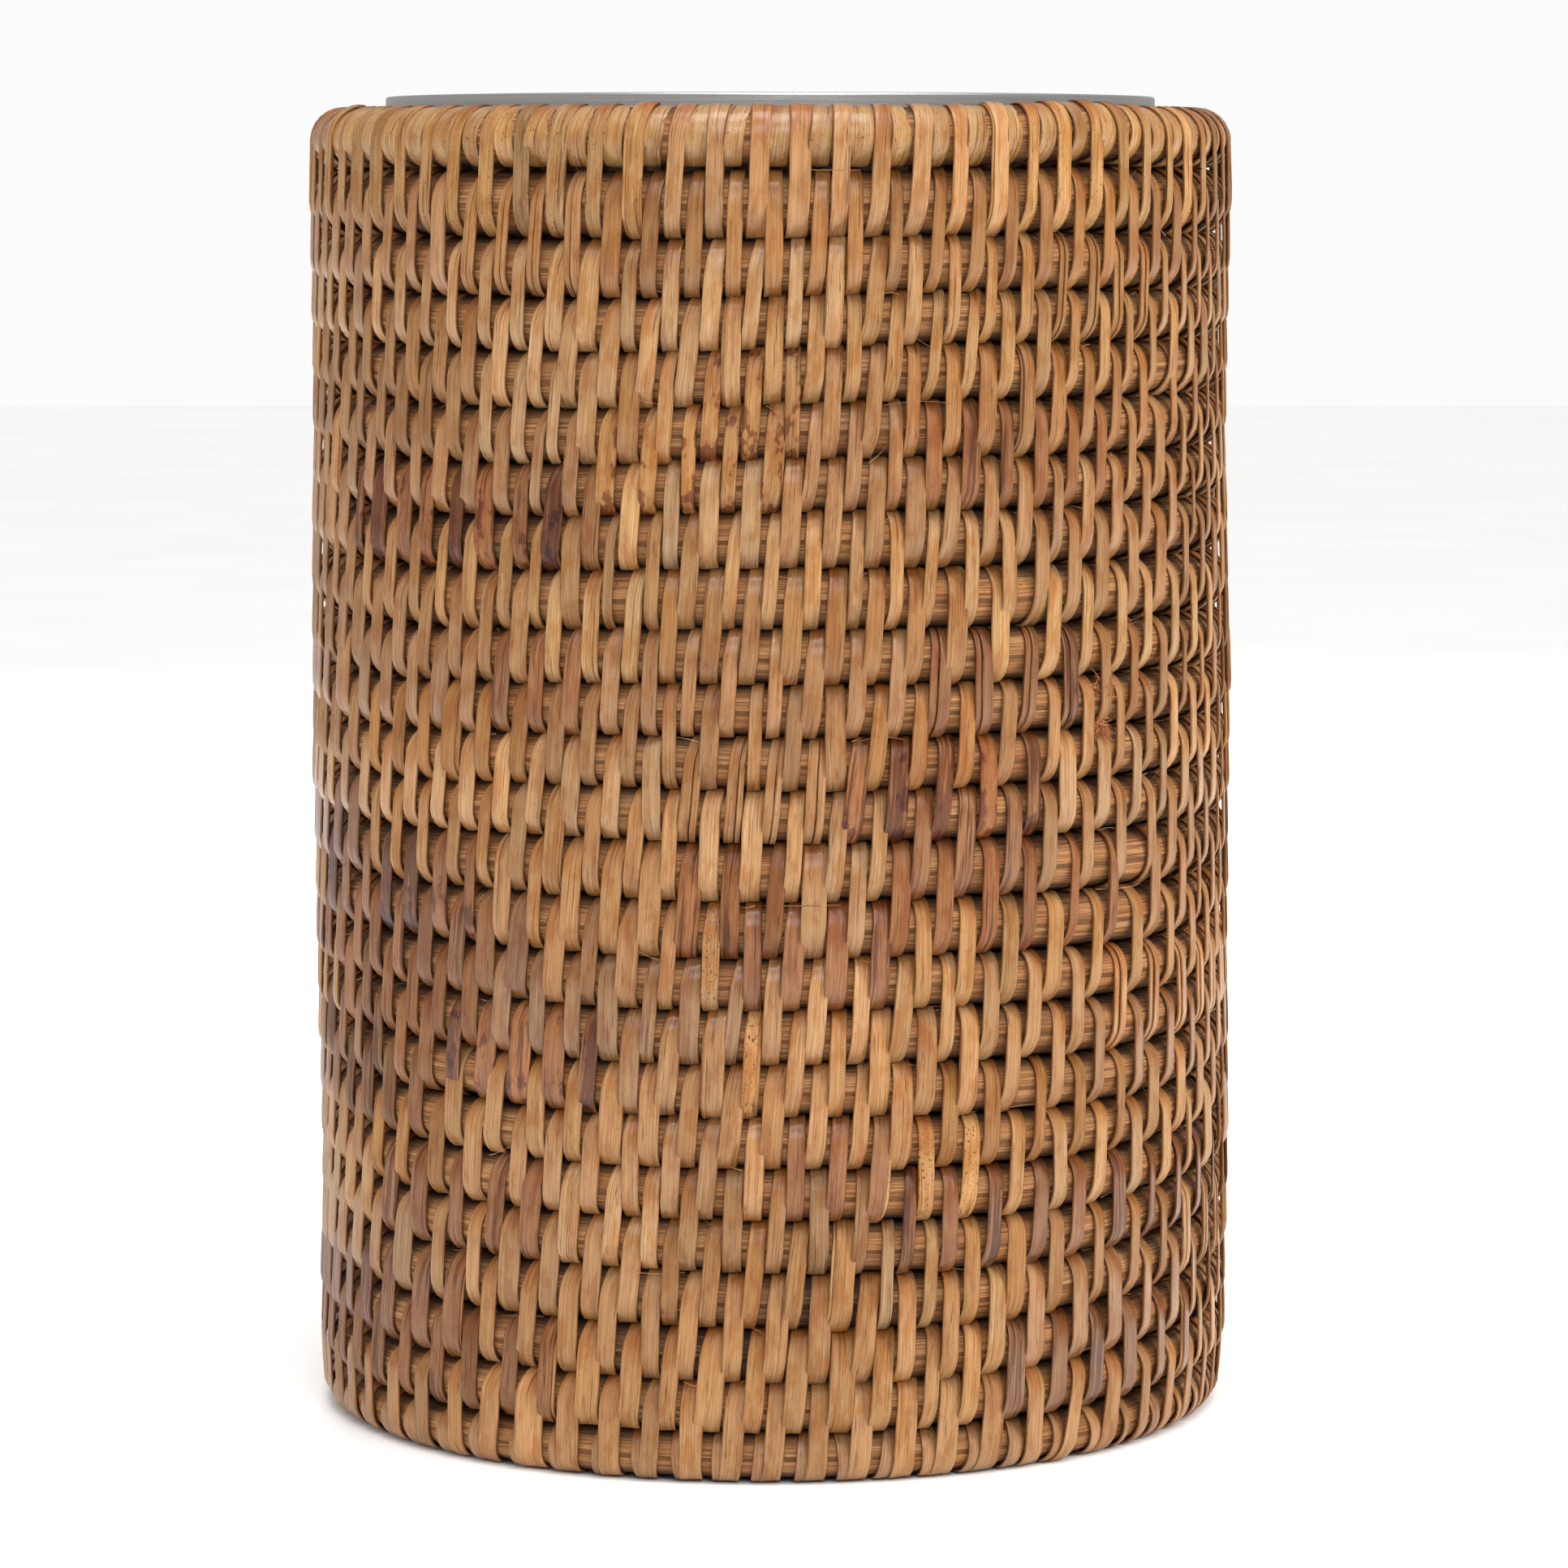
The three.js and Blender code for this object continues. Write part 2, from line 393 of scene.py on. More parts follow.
SLANT_POWER = 1.2  # a strip leans on the upper cane and hangs more nearly straight on the lower one
MIDDLE_SLANT = 0.5**SLANT_POWER - 0.5
BULGE = 0.50  # how far a strip stands off the lower cane
DIP = 0.10  # how much closer it lies to the upper one
PASSING_GAP = 0.12  # between a strip and the foot that hangs down beside it
MOST_ASIDE = 1.3  # how far a strip moves over for that foot
SPLIT_ODDS = 0.05  # how many strips have split lengthwise in two
JOIN_ODDS = 0.30  # how many start by lying over the last stitch of the strip before
WARMER = np.array([0.5, 0, -1.3])  # how a strip's red, green and blue change with its warmth


def room_beside(angles, feet, half_width, ring):
    """How far each stitch has to move left of its place to pass the foot that hangs down on its right.
    feet is where the feet of the row above are, and half their widths."""
    if feet is None:
        return np.zeros(len(angles))
    foot_angles, foot_halves = feet
    away = (foot_angles[None, :] - angles[:, None]) % TURN
    nearest = away.argmin(axis=1)
    space = away.min(axis=1) * ring - foot_halves[nearest]
    return np.clip(space - half_width - PASSING_GAP, -MOST_ASIDE, 0)


def add_strips(row, upper, lower, angles, material, name, binding=WALL_BINDING, flat=False, feet=None):
    """One row of binding: for each strip of it, a ribbon that goes round and round the two hoops.
    feet is what this returned for the row above: where the strips' feet are, and half their widths."""
    table = strip_turn(upper, lower, flat)
    seen = PROGRESS <= 1
    down = np.where(seen, PROGRESS, 0)
    back = np.where(seen, 0, PROGRESS - 1)
    slant = (1 - down) ** SLANT_POWER - 0.5
    level = upper.level + (lower.level - upper.level) * np.where(seen, down, 1 - back)
    ring = (upper.ring + lower.ring) / 2 if flat else upper.ring + upper.cane
    stitches = len(angles)
    half_space = TURN * ring / stitches / 2
    hidden_share = 0.9 * binding.foot_share
    taper = np.where(
        seen, binding.foot_share + (binding.top_share - binding.foot_share) * step(0.45, 0, down),
        hidden_share + (binding.top_share - hidden_share) * step(0.3, 1, back))
    # What differs from stitch to stitch: its place at the top, middle and foot, its lean, swell, roll and
    # width, its shade, warmth and stains, and where it would split.
    top, middle, foot = rng.normal(0, 0.42, (3, stitches))
    leans = binding.lean + binding.spread * rng.normal(0, 1, stitches)
    swells = rng.uniform(0, 0.15, stitches)
    rolls = rng.normal(0.13, 0.07, stitches)
    widths = rng.normal(1, 0.12, stitches)
    shades = rng.normal(1, 0.075, stitches)
    warmths = rng.normal(0, 0.035, stitches)
    stains = rng.uniform(0.4, 1.3, stitches)
    splits = rng.uniform(0.35, 0.65, stitches)
    half_foot = half_space * binding.foot_share * widths
    at_middle = leans * MIDDLE_SLANT + 0.25 * top + 0.6 * middle + 0.25 * foot
    aside = room_beside(angles + at_middle / ring, feet, half_foot, ring)
    at_top = top + leans / 2 + aside
    at_foot = foot - leans / 2 + aside
    lifted = (BULGE * step(0.25, 0.7, down) * step(1.0, 0.85, down)
              - DIP * step(0.05, 0.15, down) * step(0.45, 0.3, down))
    parts = Parts()
    for first, end, kind in strip_runs(row, angles):
        # The stitch before the first is made too, because the strip starts on its hidden side.
        joined = rng.random() < JOIN_ODDS
        numbers = np.arange(first - 1 - joined, end)
        picks = numbers % stitches
        nexts = (picks + 1) % stitches
        start = (angles[picks] - numbers // stitches * TURN)[:, None]
        following = (angles[nexts] - (numbers + 1) // stitches * TURN)[:, None]

        def each(values):
            return values[picks][:, None]

        def to_next(values):
            """A value that stays put on the seen side and changes to the next stitch's on the hidden side."""
            return each(values) + (values[nexts] - values[picks])[:, None] * back

        wander = each(top) * (1 - down) ** 2 + each(middle) * 2.4 * down * (1 - down) + each(foot) * down**2
        on_face = start + (each(leans) * slant + wander + each(aside)) / ring
        leaving = start + each(at_foot) / ring
        arriving = following + at_top[nexts][:, None] / ring
        angle = np.where(seen, on_face, leaving + (arriving - leaving) * step(0.05, 0.8, back))
        stand_off = (each(swells) * np.sin(math.pi * down) + lifted) * seen
        # Where two strips are joined, the new one lies over the old one and a little to one side.
        overlap = np.zeros_like(angle)
        if joined:
            overlap[1] = 1
            angle = angle + overlap * rng.choice([-1, 1]) * rng.uniform(0.3, 0.7) / ring
        stand_off = stand_off + binding.lift + 0.6 * STRIP_THICKNESS * overlap * seen
        half_width = half_space * rng.uniform(0.88, 1.10) * taper * to_next(widths)
        traits = to_next(stains), to_next(shades), to_next(warmths)
        roll = each(rolls) * np.sin(math.pi * down)
        # A strand is how far it lies from the strip's middle and its size, in half widths, and its lift.
        split = to_next(splits) + rng.uniform(-0.15, 0.15)
        gap = 0.01 + 0.015 * (1 + np.sin(3 * down + rng.uniform(0, TURN)))
        if rng.random() < SPLIT_ODDS:
            strands = [(split - 1 - gap, split - gap, 0.04), (split + gap, 1 - gap - split, -0.06)]
        else:
            strands = [(0, 1, 0)]
        base_colour, streaks, speckles, blotches, _ = KINDS[kind]
        colour = base_colour * rng.uniform(0.93, 1.07) * rng.uniform(0.98, 1.02, 3)
        for shift, size, lift in strands:
            strand_angle = angle - shift * half_width / ring
            reach = stand_off + lift
            out, up = sway(level, strand_angle)
            distance = table[:, 0] + reach * table[:, 2] + out
            height = table[:, 1] + reach * table[:, 3] + up
            cosine, sine = np.cos(strand_angle), np.sin(strand_angle)
            line = np.stack([distance * cosine, distance * sine, height], -1)
            rise = np.broadcast_to(table[:, 3], cosine.shape)
            outward = np.stack([table[:, 2] * cosine, table[:, 2] * sine, rise], -1)
            # The strip starts and ends out of sight, part of the way up the hidden side.
            keep = slice(SEEN_STEPS + END_STEPS, len(picks) * TURN_STEPS - END_STEPS)
            stain, shade, warmth, breadth, turned, groove, lower_half = (
                np.broadcast_to(values, angle.shape).reshape(-1)[keep]
                for values in (*traits, half_width * size, roll, table[:, 4], down))
            tone = colour * shade[:, None] * (1 + warmth[:, None] * WARMER)
            add_ribbon(parts, line.reshape(-1, 3)[keep], outward.reshape(-1, 3)[keep], breadth, turned,
                       groove, lower_half, tone, stain * streaks, speckles, blotches)
    parts.build(name, material, "basket")
    return angles + at_foot / ring, half_foot


def add_ribbon(parts, line, outward, breadth, roll, groove, lower_half, tone, stain, speckle, blotch):
    """A flat strip along a line. breadth is half its width and roll turns it about the line; the values from
    groove on are for its material."""
    along = unit(np.gradient(line, axis=0))
    side = unit(np.cross(along, outward))
    outward = np.cross(side, along)
    side, outward = (side * np.cos(roll)[:, None] + outward * np.sin(roll)[:, None],
                     outward * np.cos(roll)[:, None] - side * np.sin(roll)[:, None])
    rings, sides = len(line), len(SECTION)
    length = np.concatenate([[0], np.cumsum(np.linalg.norm(np.diff(line, axis=0), axis=1))])
    across = SECTION[:, 0]
    # Low ridges come and go along the strip, and its face is a little hollow or a little full.
    ridges = sum(np.sin(length[:, None] / scale + rng.uniform(0, TURN, sides)) for scale in (6, 2.7)) * 0.022
    fullness = rng.uniform(-0.10, 0.22) * (across**2 - 0.4)
    rise = SECTION[:, 1] * STRIP_THICKNESS + CREST * (ridges + fullness)
    edge_wander = 1 + 0.03 * np.sin(length[:, None] / 2.1 + rng.uniform(0, TURN, sides))
    points = (line[:, None] + side[:, None] * (across * edge_wander * breadth[:, None])[..., None]
              + outward[:, None] * rise[..., None]).reshape(-1, 3)
    faces = np.concatenate([tube_faces(rings, sides, False), cap_faces(sides, True),
                            cap_faces(sides, False) + (rings - 1) * sides])
    # Every ribbon's grain starts somewhere else.
    length = length + rng.uniform(0, 4000)
    seed = rng.uniform(0, 500)

    def spread(values):
        return np.repeat(values, sides)

    place = np.stack([(across * breadth[:, None]).ravel(), spread(length), np.full(rings * sides, seed)], -1)
    trait = np.stack([spread(groove), spread(stain), np.full(rings * sides, speckle)], -1)
    edge = np.stack([np.tile(np.abs(across), rings), spread(lower_half), np.full(rings * sides, blotch)], -1)
    parts.add(points, facing_out(points, faces), place=place, trait=trait, edge=edge,
              tone=np.repeat(tone, sides, 0))


# ---------------------------------------------------------------- loose fibres

HAIRS, SLIVERS, TUFT_HAIRS = 330, 32, 170
HAIR_SIDES = 3
HAIR_STEPS = 7


def add_hair(parts, root, direction, bend, length, radius, colour):
    """A thin curved fibre that tapers to its tip."""
    t = np.linspace(0, 1, HAIR_STEPS)[:, None]
    line = root + direction * length * t + bend * length * t**2
    add_strand(parts, line, radius * (1 - 0.75 * t), colour)


def add_strand(parts, line, size, colour):
    """A thin fibre along a line."""
    along = unit(np.gradient(line, axis=0))
    side = unit(np.cross(along, np.array([0.31, 0.17, 0.93])))
    other = np.cross(along, side)
    turn = np.arange(HAIR_SIDES) * TURN / HAIR_SIDES
    points = (line[:, None] + side[:, None] * (size * np.cos(turn))[..., None]
              + other[:, None] * (size * np.sin(turn))[..., None]).reshape(-1, 3)
    faces = facing_out(points, tube_faces(HAIR_STEPS, HAIR_SIDES, False))
    parts.add(points, faces, tone=np.tile(colour, (len(points), 1)))


def away_from_axis(angle):
    """The level direction that points away from the axis at this angle."""
    return np.array([math.cos(angle), math.sin(angle), 0])


def add_hairs(parts, hoops):
    """Short hairs that stand out of the grooves."""
    for _ in range(HAIRS):
        hoop = hoops[rng.integers(1, FOOT_LEVEL)]
        angle = rng.uniform(0, TURN)
        outward = away_from_axis(angle)
        round_it = away_from_axis(angle + TURN / 4) * rng.choice([-1, 1])
        root = outward * (hoop.ring + hoop.cane - rng.uniform(1.0, 3.0))
        root[2] = hoop.height + hoop.cane
        direction = unit(round_it * rng.uniform(0.5, 1) + outward * rng.uniform(0.1, 0.5)
                         + np.array([0, 0, rng.normal(0, 0.4)]))
        bend = rng.normal(0, 0.3, 3) - outward * rng.uniform(0.1, 0.3)
        add_hair(parts, root, direction, bend, rng.uniform(2, 7), rng.uniform(0.05, 0.10),
                 linear(206, 164, 116) * rng.uniform(0.6, 1.1))


def add_slivers(parts, hoops):
    """Longer fibres that bow out of a groove and go back in."""
    for _ in range(SLIVERS):
        hoop = hoops[rng.integers(1, FOOT_LEVEL)]
        start = rng.uniform(0, TURN)
        sweep = rng.uniform(0.05, 0.16) * rng.choice([-1, 1])
        rise = rng.normal(0, 1.2)
        share = np.linspace(0, 1, HAIR_STEPS)
        bow = np.sin(math.pi * share)
        ring = hoop.ring + hoop.cane - 0.8 + bow * rng.uniform(1.2, 2.6)
        angle = start + sweep * share
        height = hoop.height + hoop.cane + bow * rise
        path = np.stack([ring * np.cos(angle), ring * np.sin(angle), height], -1)
        add_strand(parts, path, np.full((HAIR_STEPS, 1), rng.uniform(0.06, 0.12)),
                   linear(168, 116, 70) * rng.uniform(0.4, 1.0))


def add_tuft(parts, hoop, degrees, above):
    """Where a strip has frayed: degrees right of the front, and this far above the hoop's middle."""
    for _ in range(TUFT_HAIRS):
        outward = away_from_axis(FRONT + math.radians(degrees + rng.normal(0, 0.6)))
        root = outward * (hoop.ring + hoop.cane - 0.2)
        root[2] = hoop.height + above + rng.normal(0, 1.1)
        direction = unit(outward * rng.uniform(0.2, 0.8) + rng.normal(0, 0.7, 3))
        add_hair(parts, root, direction, rng.normal(0, 0.5, 3), rng.uniform(0.6, 2.0),
                 rng.uniform(0.1, 0.2), linear(198, 128, 76) * rng.uniform(0.5, 1.2))


def add_fibres(hoops, material):
    parts = Parts()
    add_hairs(parts, hoops)
    add_slivers(parts, hoops)
    add_tuft(parts, hoops[10], 44.5, 3.6)
    add_tuft(parts, hoops[11], 44, 5.6)
    parts.build("loose_fibres", material, "basket")


# ---------------------------------------------------------------- liner

TURNED_STEPS = 240


def add_turned(corners, steps, material, name, node):
    """A smooth solid turned round the axis, from a closed profile of (radius, height, rounding) corners.
    Each rounded corner is made in this many steps."""
    profile = rounded(corners, steps)
    angle = np.arange(TURNED_STEPS) * TURN / TURNED_STEPS
    ring, height = profile[:, 0], profile[:, 1]
    points = np.stack([ring * np.cos(angle)[:, None], ring * np.sin(angle)[:, None],
                       np.broadcast_to(height, (TURNED_STEPS, len(profile)))], -1).reshape(-1, 3)
    faces = facing_out(points, tube_faces(TURNED_STEPS, len(profile), True))
    place = np.stack([np.tile(height, TURNED_STEPS), np.repeat(angle, len(profile)),
                      np.tile(ring, TURNED_STEPS)], -1)
    parts = Parts()
    parts.add(points, faces, place=place)
    parts.build(name, material, "liner", [node])


def rounded(corners, steps):
    """Cuts each corner of a closed profile with an arc-like curve, and gives the profile's points."""
    points = []
    for i, (ring, height, rounding) in enumerate(corners):
        here = np.array([ring, height])
        if not rounding:
            points.append(here)
            continue
        before = np.array(corners[i - 1][:2])
        after = np.array(corners[(i + 1) % len(corners)][:2])
        start = here + unit(before - here) * rounding
        end = here + unit(after - here) * rounding
        for t in np.linspace(0, 1, steps):
            points.append((1 - t) ** 2 * start + 2 * t * (1 - t) * here + t**2 * end)
    return np.array(points)


def add_liner(material):
    """The sheet wall, the band round its top that makes the lip, and the pan that closes its bottom."""
    low, high = box_of("liner_wall")
    outside = high.x
    inside = outside - SHEET
    edge = high.z - 0.4  # just under the band's lip, which covers it
    wall = [(inside, low.z, 0.2), (outside, low.z, 0.2), (outside, edge, 0.2), (inside, edge, 0.2)]
    add_turned(wall, 3, material, "liner_sheet", "liner_wall")
    low, high = box_of("liner_rim_band")
    fold = high.z - 0.38
    band = [(outside + 0.05, low.z, 0.2), (high.x, low.z, 0.3), (high.x, high.z, 0.75),
            (inside + 0.1, high.z, 0.35), (inside + 0.1, fold, 0), (outside + 0.05, fold, 0)]
    add_turned(band, 7, material, "liner_lip", "liner_rim_band")
    low, high = box_of("liner_floor")
    skirt = high.x
    under, raised = high.z - SHEET, high.z + 0.25
    pan = [(0.01, under, 0), (skirt - SHEET, under, 1.0), (skirt - SHEET, low.z, 0.2), (skirt, low.z, 0.2),
           (skirt, high.z, 1.6), (60, high.z, 0), (58, raised, 0), (0.01, raised, 0)]
    add_turned(pan, 6, material, "liner_pan", "liner_floor")


# ---------------------------------------------------------------- materials

class Look:
    """A material whose Principled shader is fed by nodes."""

    def __init__(self, name, **values):
        self.material = bpy.data.materials.new(name)
        self.material.use_nodes = True
        self.nodes = self.material.node_tree.nodes
        self.links = self.material.node_tree.links
        self.shader = self.nodes["Principled BSDF"]
        for socket, value in values.items():
            self.shader.inputs[socket.replace("_", " ")].default_value = value

    def add(self, kind, output=0, sockets=(), **settings):
        """Adds a node, sets it up, and returns one of its outputs. sockets is a list of (input, value)."""
        node = self.nodes.new(kind)
        for name, value in settings.items():
            setattr(node, name, value)
        for key, value in sockets:
            if isinstance(value, bpy.types.NodeSocket):
                self.links.new(value, node.inputs[key])
            else:
                node.inputs[key].default_value = value
        return node.outputs[output]

    def field(self, name, output="Vector"):
        return self.add("ShaderNodeAttribute", output, attribute_name=name)

    def split(self, vector):
        node = self.nodes.new("ShaderNodeSeparateXYZ")
        self.links.new(vector, node.inputs[0])
        return node.outputs

    def noise(self, vector, stretch, detail=2.0, roughness=0.5):
        scaled = self.add("ShaderNodeVectorMath", sockets=[(0, vector), (1, stretch)], operation="MULTIPLY")
        return self.add("ShaderNodeTexNoise", "Fac", [("Vector", scaled), ("Scale", 1.0), ("Detail", detail),
                                                      ("Roughness", roughness)])

    def math(self, operation, a, b=0.0):
        return self.add("ShaderNodeMath", sockets=[(0, a), (1, b)], operation=operation)

    def ramp(self, value, low, high, to_low=0.0, to_high=1.0):
        """A smooth step from to_low at low to to_high at high."""
        sockets = [(0, value), (1, low), (2, high), (3, to_low), (4, to_high)]
        return self.add("ShaderNodeMapRange", sockets=sockets, interpolation_type="SMOOTHSTEP")

    def mix(self, share, a, b, blend="MIX"):
        return self.add("ShaderNodeMix", 2, [(0, share), (6, a), (7, b)], data_type="RGBA", blend_type=blend)

    def tint(self, share, colour, red, green, blue):
        """The colour with its red, green and blue multiplied by these, as far as share says."""
        return self.mix(share, colour, self.mix(1.0, colour, rgba((red, green, blue)), "MULTIPLY"))

    def finish(self, colour, roughness=None, height=None, distance=0.0, strength=1.0):
        """Links the colour, roughness and bump height to the shader, and gives the material."""
        self.links.new(colour, self.shader.inputs["Base Color"])
        if roughness is not None:
            self.links.new(roughness, self.shader.inputs["Roughness"])
        if height is not None:
            bump = self.add("ShaderNodeBump", sockets=[("Height", height), ("Distance", distance),
                                                       ("Strength", strength)])
            self.links.new(bump, self.shader.inputs["Normal"])
        return self.material


def rgba(colour):
    return (*colour, 1.0)


def strip_look():
    """Peeled cane: fibres and splits along the strip, stains, specks, darker edges, and dirt and painted
    shade in the grooves."""
    look = Look("peeled_cane", Specular_IOR_Level=0.25, Coat_Roughness=0.2)
    place = look.field("place")
    tone = look.field("tone", "Color")
    groove, stain, speckle = look.split(look.field("trait"))
    edge, down, blotch = look.split(look.field("edge"))
    fibre = look.noise(place, (2.4, 0.05, 1.7), 4.0, 0.65)
    fine = look.noise(place, (6.5, 0.12, 2.3), 2.0, 0.6)
    patch = look.noise(place, (0.30, 0.11, 1.1), 3.0, 0.62)
    gloss = look.add("ShaderNodeTexWhiteNoise", "Value", [("W", look.split(place)[2])], noise_dimensions="1D")
    top_stain = look.noise(place, (0.16, 0.05, 7.3), 2.0, 0.5)
    mottle = look.noise(place, (0.26, 0.15, 3.1), 3.0, 0.60)
    streak = look.noise(place, (1.1, 0.045, 5.3), 3.0, 0.6)
    split_line = look.noise(place, (1.25, 0.014, 4.3), 1.0, 0.5)
    speck = look.noise(place, (2.6, 1.3, 5.9), 1.0, 0.4)

    # Fibres are dark, pale and finely dark; broad patches are orange or pale.
    colour = look.tint(look.ramp(fibre, 0.36, 0.56, 0.65, 0.0), tone, 0.68, 0.58, 0.49)
    colour = look.tint(look.ramp(fibre, 0.54, 0.68, 0.0, 0.65), colour, 1.24, 1.27, 1.31)
    colour = look.tint(look.ramp(fine, 0.44, 0.30, 0.0, 0.5), colour, 0.58, 0.48, 0.39)
    colour = look.tint(look.ramp(patch, 0.46, 0.62, 0.0, 0.9), colour, 0.84, 0.67, 0.46)
    colour = look.tint(look.ramp(patch, 0.46, 0.32, 0.0, 0.6), colour, 1.13, 1.14, 1.17)
    # Brown skin is left on where a strip bends over the upper cane, on some stitches more than others.
    skin = look.math("MULTIPLY", look.ramp(down, 0.55, 0.12), look.ramp(top_stain, 0.42, 0.60))
    colour = look.tint(look.math("MULTIPLY", skin, 0.95), colour, 0.78, 0.55, 0.33)
    # Streaks cover more of a strip the more it is stained.
    limit = look.math("SUBTRACT", 0.80, look.math("MULTIPLY", stain, 0.32))
    streaked = look.ramp(look.math("SUBTRACT", streak, limit), -0.04, 0.10, 0.0, 0.95)
    colour = look.tint(streaked, colour, 0.38, 0.27, 0.21)
    # Blots are dark in the middle and orange round their edges, and more common low on a stitch.
    blot = look.math("SUBTRACT", mottle, look.math("SUBTRACT", 0.84, look.math("MULTIPLY", blotch, 0.31)))
    blot = look.math("ADD", blot, look.ramp(down, 0.35, 0.9, 0.0, 0.09))
    blotted = look.ramp(blot, 0.0, 0.05, 0.0, 0.85)
    colour = look.tint(look.ramp(blot, -0.06, 0.01, 0.0, 0.5), colour, 0.86, 0.66, 0.46)
    colour = look.tint(blotted, colour, 0.42, 0.25, 0.17)
    # Splits run the length of a strip as thin dark lines.
    away = look.math("ABSOLUTE", look.math("SUBTRACT", split_line, 0.5))
    split = look.math("MULTIPLY", look.ramp(away, 0.0, 0.012, 1.0, 0.0), look.ramp(fibre, 0.42, 0.58))
    colour = look.tint(look.math("MULTIPLY", split, 0.85), colour, 0.32, 0.22, 0.16)
    # Hairlines are finer and fainter.
    hairline = look.noise(place, (2.9, 0.02, 9.1), 1.0, 0.5)
    off_line = look.math("ABSOLUTE", look.math("SUBTRACT", hairline, 0.5))
    colour = look.tint(look.ramp(off_line, 0.0, 0.03, 0.32, 0.0), colour, 0.50, 0.40, 0.32)
    # Dark specks, then darker edges, then dirt and painted shade where the strip goes into the grooves.
    rare = look.math("SUBTRACT", 0.84, look.math("MULTIPLY", speckle, 0.20))
    dots = look.ramp(look.math("SUBTRACT", speck, rare), 0.0, 0.03)
    colour = look.mix(look.math("MULTIPLY", dots, 0.85), colour, rgba(linear(50, 33, 24)))
    # Darker along the strip's edges.
    edge_darkening = look.ramp(edge, 0.88, 1.0, 0.0, 0.75)
    colour = look.tint(edge_darkening, colour, 0.46, 0.34, 0.25)
    # Dirt and painted shade, darker the deeper the strip lies in the groove.
    groove_dirt_and_shade = look.ramp(groove, 0.45, 1.0, 0.0, 0.8)
    colour = look.tint(groove_dirt_and_shade, colour, 0.40, 0.29, 0.22)

    height = look.math("ADD", look.math("MULTIPLY", fibre, 0.6), look.math("MULTIPLY", fine, 0.35))
    height = look.math("SUBTRACT", height, look.math("MULTIPLY", split, 0.8))
    roughness = look.ramp(fibre, 0.3, 0.7, 0.50, 0.36)
    look.links.new(look.ramp(gloss, 0.3, 0.95, 0.02, 0.55), look.shader.inputs["Coat Weight"])
    return look.finish(colour, roughness, height, distance=0.00025)


def cane_look():
    """Bare cane under the strips: coarse fibres along it, pale on their crests and dark between. The pale
    crests are partly painted highlight, and the cane is painted in shade where it goes into the grooves.
    """
    look = Look("bare_cane", Specular_IOR_Level=0.2)
    place = look.field("place")
    groove, dark, _ = look.split(look.field("trait"))
    coarse = look.noise(place, (1.8, 0.04, 1.3), 4.0, 0.65)
    fine = look.noise(place, (4.6, 0.045, 2.1), 3.0, 0.6)
    patch = look.noise(place, (0.2, 0.035, 0.7), 2.0, 0.5)
    notch = look.noise(place, (0.6, 1.1, 3.3), 2.0, 0.5)
    # Fibres, pale on their crests and dark between: partly the fibres' own colour, and the pale crests partly
    # painted highlight.
    colour = look.mix(look.ramp(coarse, 0.38, 0.62), rgba(linear(128, 86, 52)), rgba(linear(172, 124, 80)))
    colour = look.mix(look.ramp(fine, 0.54, 0.68, 0.0, 0.6), colour, rgba(linear(206, 162, 116)))
    colour = look.mix(look.ramp(fine, 0.46, 0.32, 0.0, 0.8), colour, rgba(linear(84, 50, 28)))
    colour = look.tint(look.ramp(patch, 0.4, 0.65, 0.0, 0.6), colour, 0.86, 0.64, 0.44)
    colour = look.mix(look.ramp(notch, 0.68, 0.76, 0.0, 0.6), colour, rgba(linear(60, 40, 28)))
    lit_line = look.ramp(fine, 0.60, 0.66, 1.0, 0.35)
    colour = look.mix(look.math("MULTIPLY", dark, lit_line), colour, rgba(linear(40, 29, 25)))
    # Painted shade where the cane goes into the grooves between canes.
    colour = look.mix(look.ramp(groove, 0.45, 1.0, 0.0, 0.9), colour, rgba(linear(38, 25, 18)))
    height = look.math("ADD", look.math("MULTIPLY", coarse, 0.7), look.math("MULTIPLY", fine, 0.5))
    return look.finish(colour, look.ramp(fine, 0.3, 0.7, 0.72, 0.5), height, distance=0.0006)


def fibre_look():
    look = Look("loose_fibre", Roughness=0.6)
    return look.finish(look.field("tone", "Color"))


def steel_look():
    """Stainless sheet brushed round the liner."""
    look = Look("brushed_stainless", Metallic=1.0, Anisotropic=0.55)
    place = look.field("place")
    lines = look.noise(place, (5.0, 1.2, 0.4), 3.0, 0.6)
    broad = look.noise(place, (0.5, 0.8, 0.2), 2.0, 0.5)
    colour = look.mix(look.ramp(lines, 0.3, 0.7), rgba((0.43, 0.43, 0.42)), rgba((0.56, 0.56, 0.545)))
    colour = look.mix(look.ramp(broad, 0.35, 0.7, 0.0, 0.25), colour, rgba((0.50, 0.50, 0.50)))
    roughness = look.ramp(lines, 0.3, 0.7, 0.24, 0.36)
    return look.finish(colour, roughness, lines, distance=0.00003, strength=0.7)


def floor_look():
    look = Look("pale_floor", Roughness=0.75)
    position = look.add("ShaderNodeTexCoord", "Object")
    grain = look.noise(position, (6.0, 6.0, 6.0), 3.0, 0.5)
    colour = look.mix(look.ramp(grain, 0.3, 0.7), rgba((0.955, 0.955, 0.95)), rgba((0.985, 0.985, 0.98)))
    return look.finish(colour)


# ---------------------------------------------------------------- basket

# Where a stitch is left out, in degrees right of the front, by row.
DROPPED_STITCHES = {
    4: [60], 6: [-150], 8: [35], 9: [-60, 150], 10: [100], 11: [-100], 13: [50], 15: [-140], 17: [-40],
    19: [170], 21: [110],
}


